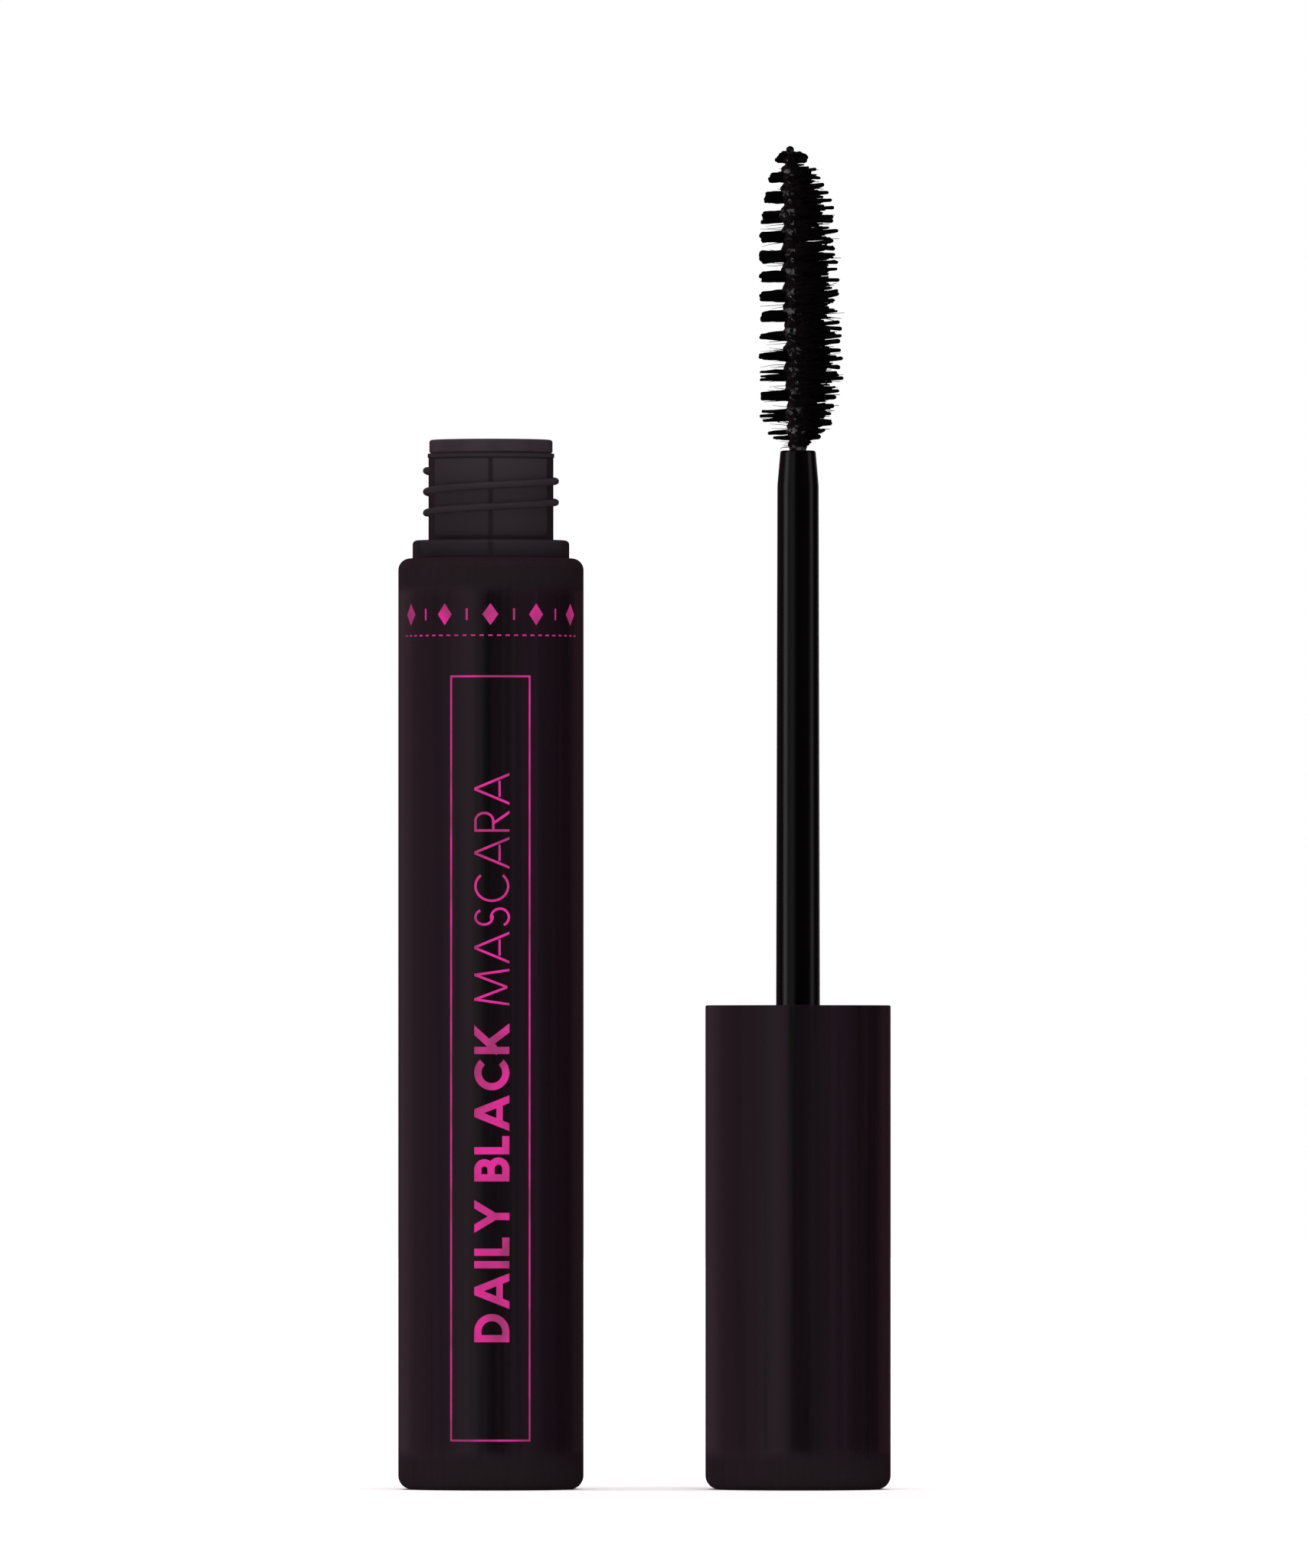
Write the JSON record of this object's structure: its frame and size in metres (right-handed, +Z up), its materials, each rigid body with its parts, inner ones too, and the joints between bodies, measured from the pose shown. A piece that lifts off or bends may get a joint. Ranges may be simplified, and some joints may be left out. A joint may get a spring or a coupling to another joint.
{
  "type": "mascara tube",
  "caption": "Open mascara: upright screw-neck tube with a wiper, and its cap standing upside down beside it, holding a stem with a twisted-wire brush.",
  "frame": {"origin": "centre of the tube's flat base, on the surface that the tube and the cap stand on", "axes": "+Z up along the tube's axis towards its neck; +X from the tube's axis to the cap's axis; +Y away from the printed side, which faces -Y"},
  "size_m": [0.0464, 0.0176, 0.1266],
  "materials": {
    "gloss_shell": "glossy near-black moulded shell with a warm violet tone",
    "bottle_plastic": "satin near-black polypropylene, slightly translucent look at the lip",
    "wiper_plastic": "satin soft polyethylene, a shade lighter than the neck",
    "mascara_paste": "wet black cosmetic paste",
    "inner_cap_plastic": "satin black polypropylene",
    "gasket_foam": "pale foamed polyethylene washer",
    "stem_plastic": "glossy black polypropylene rod",
    "brush_wire_steel": "twisted steel wire, wetted with black paste",
    "bristle_nylon": "black nylon filaments with dried paste",
    "foil_print": "hot-stamped magenta foil"
  },
  "bodies": {
    "tube": {"outer_sleeve": "gloss_shell", "inner_bottle": "bottle_plastic", "wiper": "wiper_plastic", "mascara_fill": "mascara_paste"},
    "gasket": {"cap_gasket": "gasket_foam"},
    "wand": {"cap_shell": "gloss_shell", "inner_cap": "inner_cap_plastic", "wand_stem": "stem_plastic", "brush_wire": "brush_wire_steel", "bristle_row_01": "bristle_nylon", "bristle_row_02": "bristle_nylon", "bristle_row_03": "bristle_nylon", "bristle_row_04": "bristle_nylon", "bristle_row_05": "bristle_nylon", "bristle_row_06": "bristle_nylon", "bristle_row_07": "bristle_nylon", "bristle_row_08": "bristle_nylon", "bristle_row_09": "bristle_nylon", "bristle_row_10": "bristle_nylon", "bristle_row_11": "bristle_nylon", "bristle_row_12": "bristle_nylon", "bristle_row_13": "bristle_nylon", "bristle_row_14": "bristle_nylon", "bristle_row_15": "bristle_nylon"}
  },
  "joints": [
    {"name": "wand_lift", "type": "slide", "parent": "tube", "child": "gasket", "axis": [0, 0, 1], "range_m": [0, 0.093]},
    {"name": "wand_turn", "type": "hinge", "parent": "gasket", "child": "wand", "pos_m": [0.029, 0, 0.034], "axis": [0, 0, 1], "continuous": true}
  ]
}
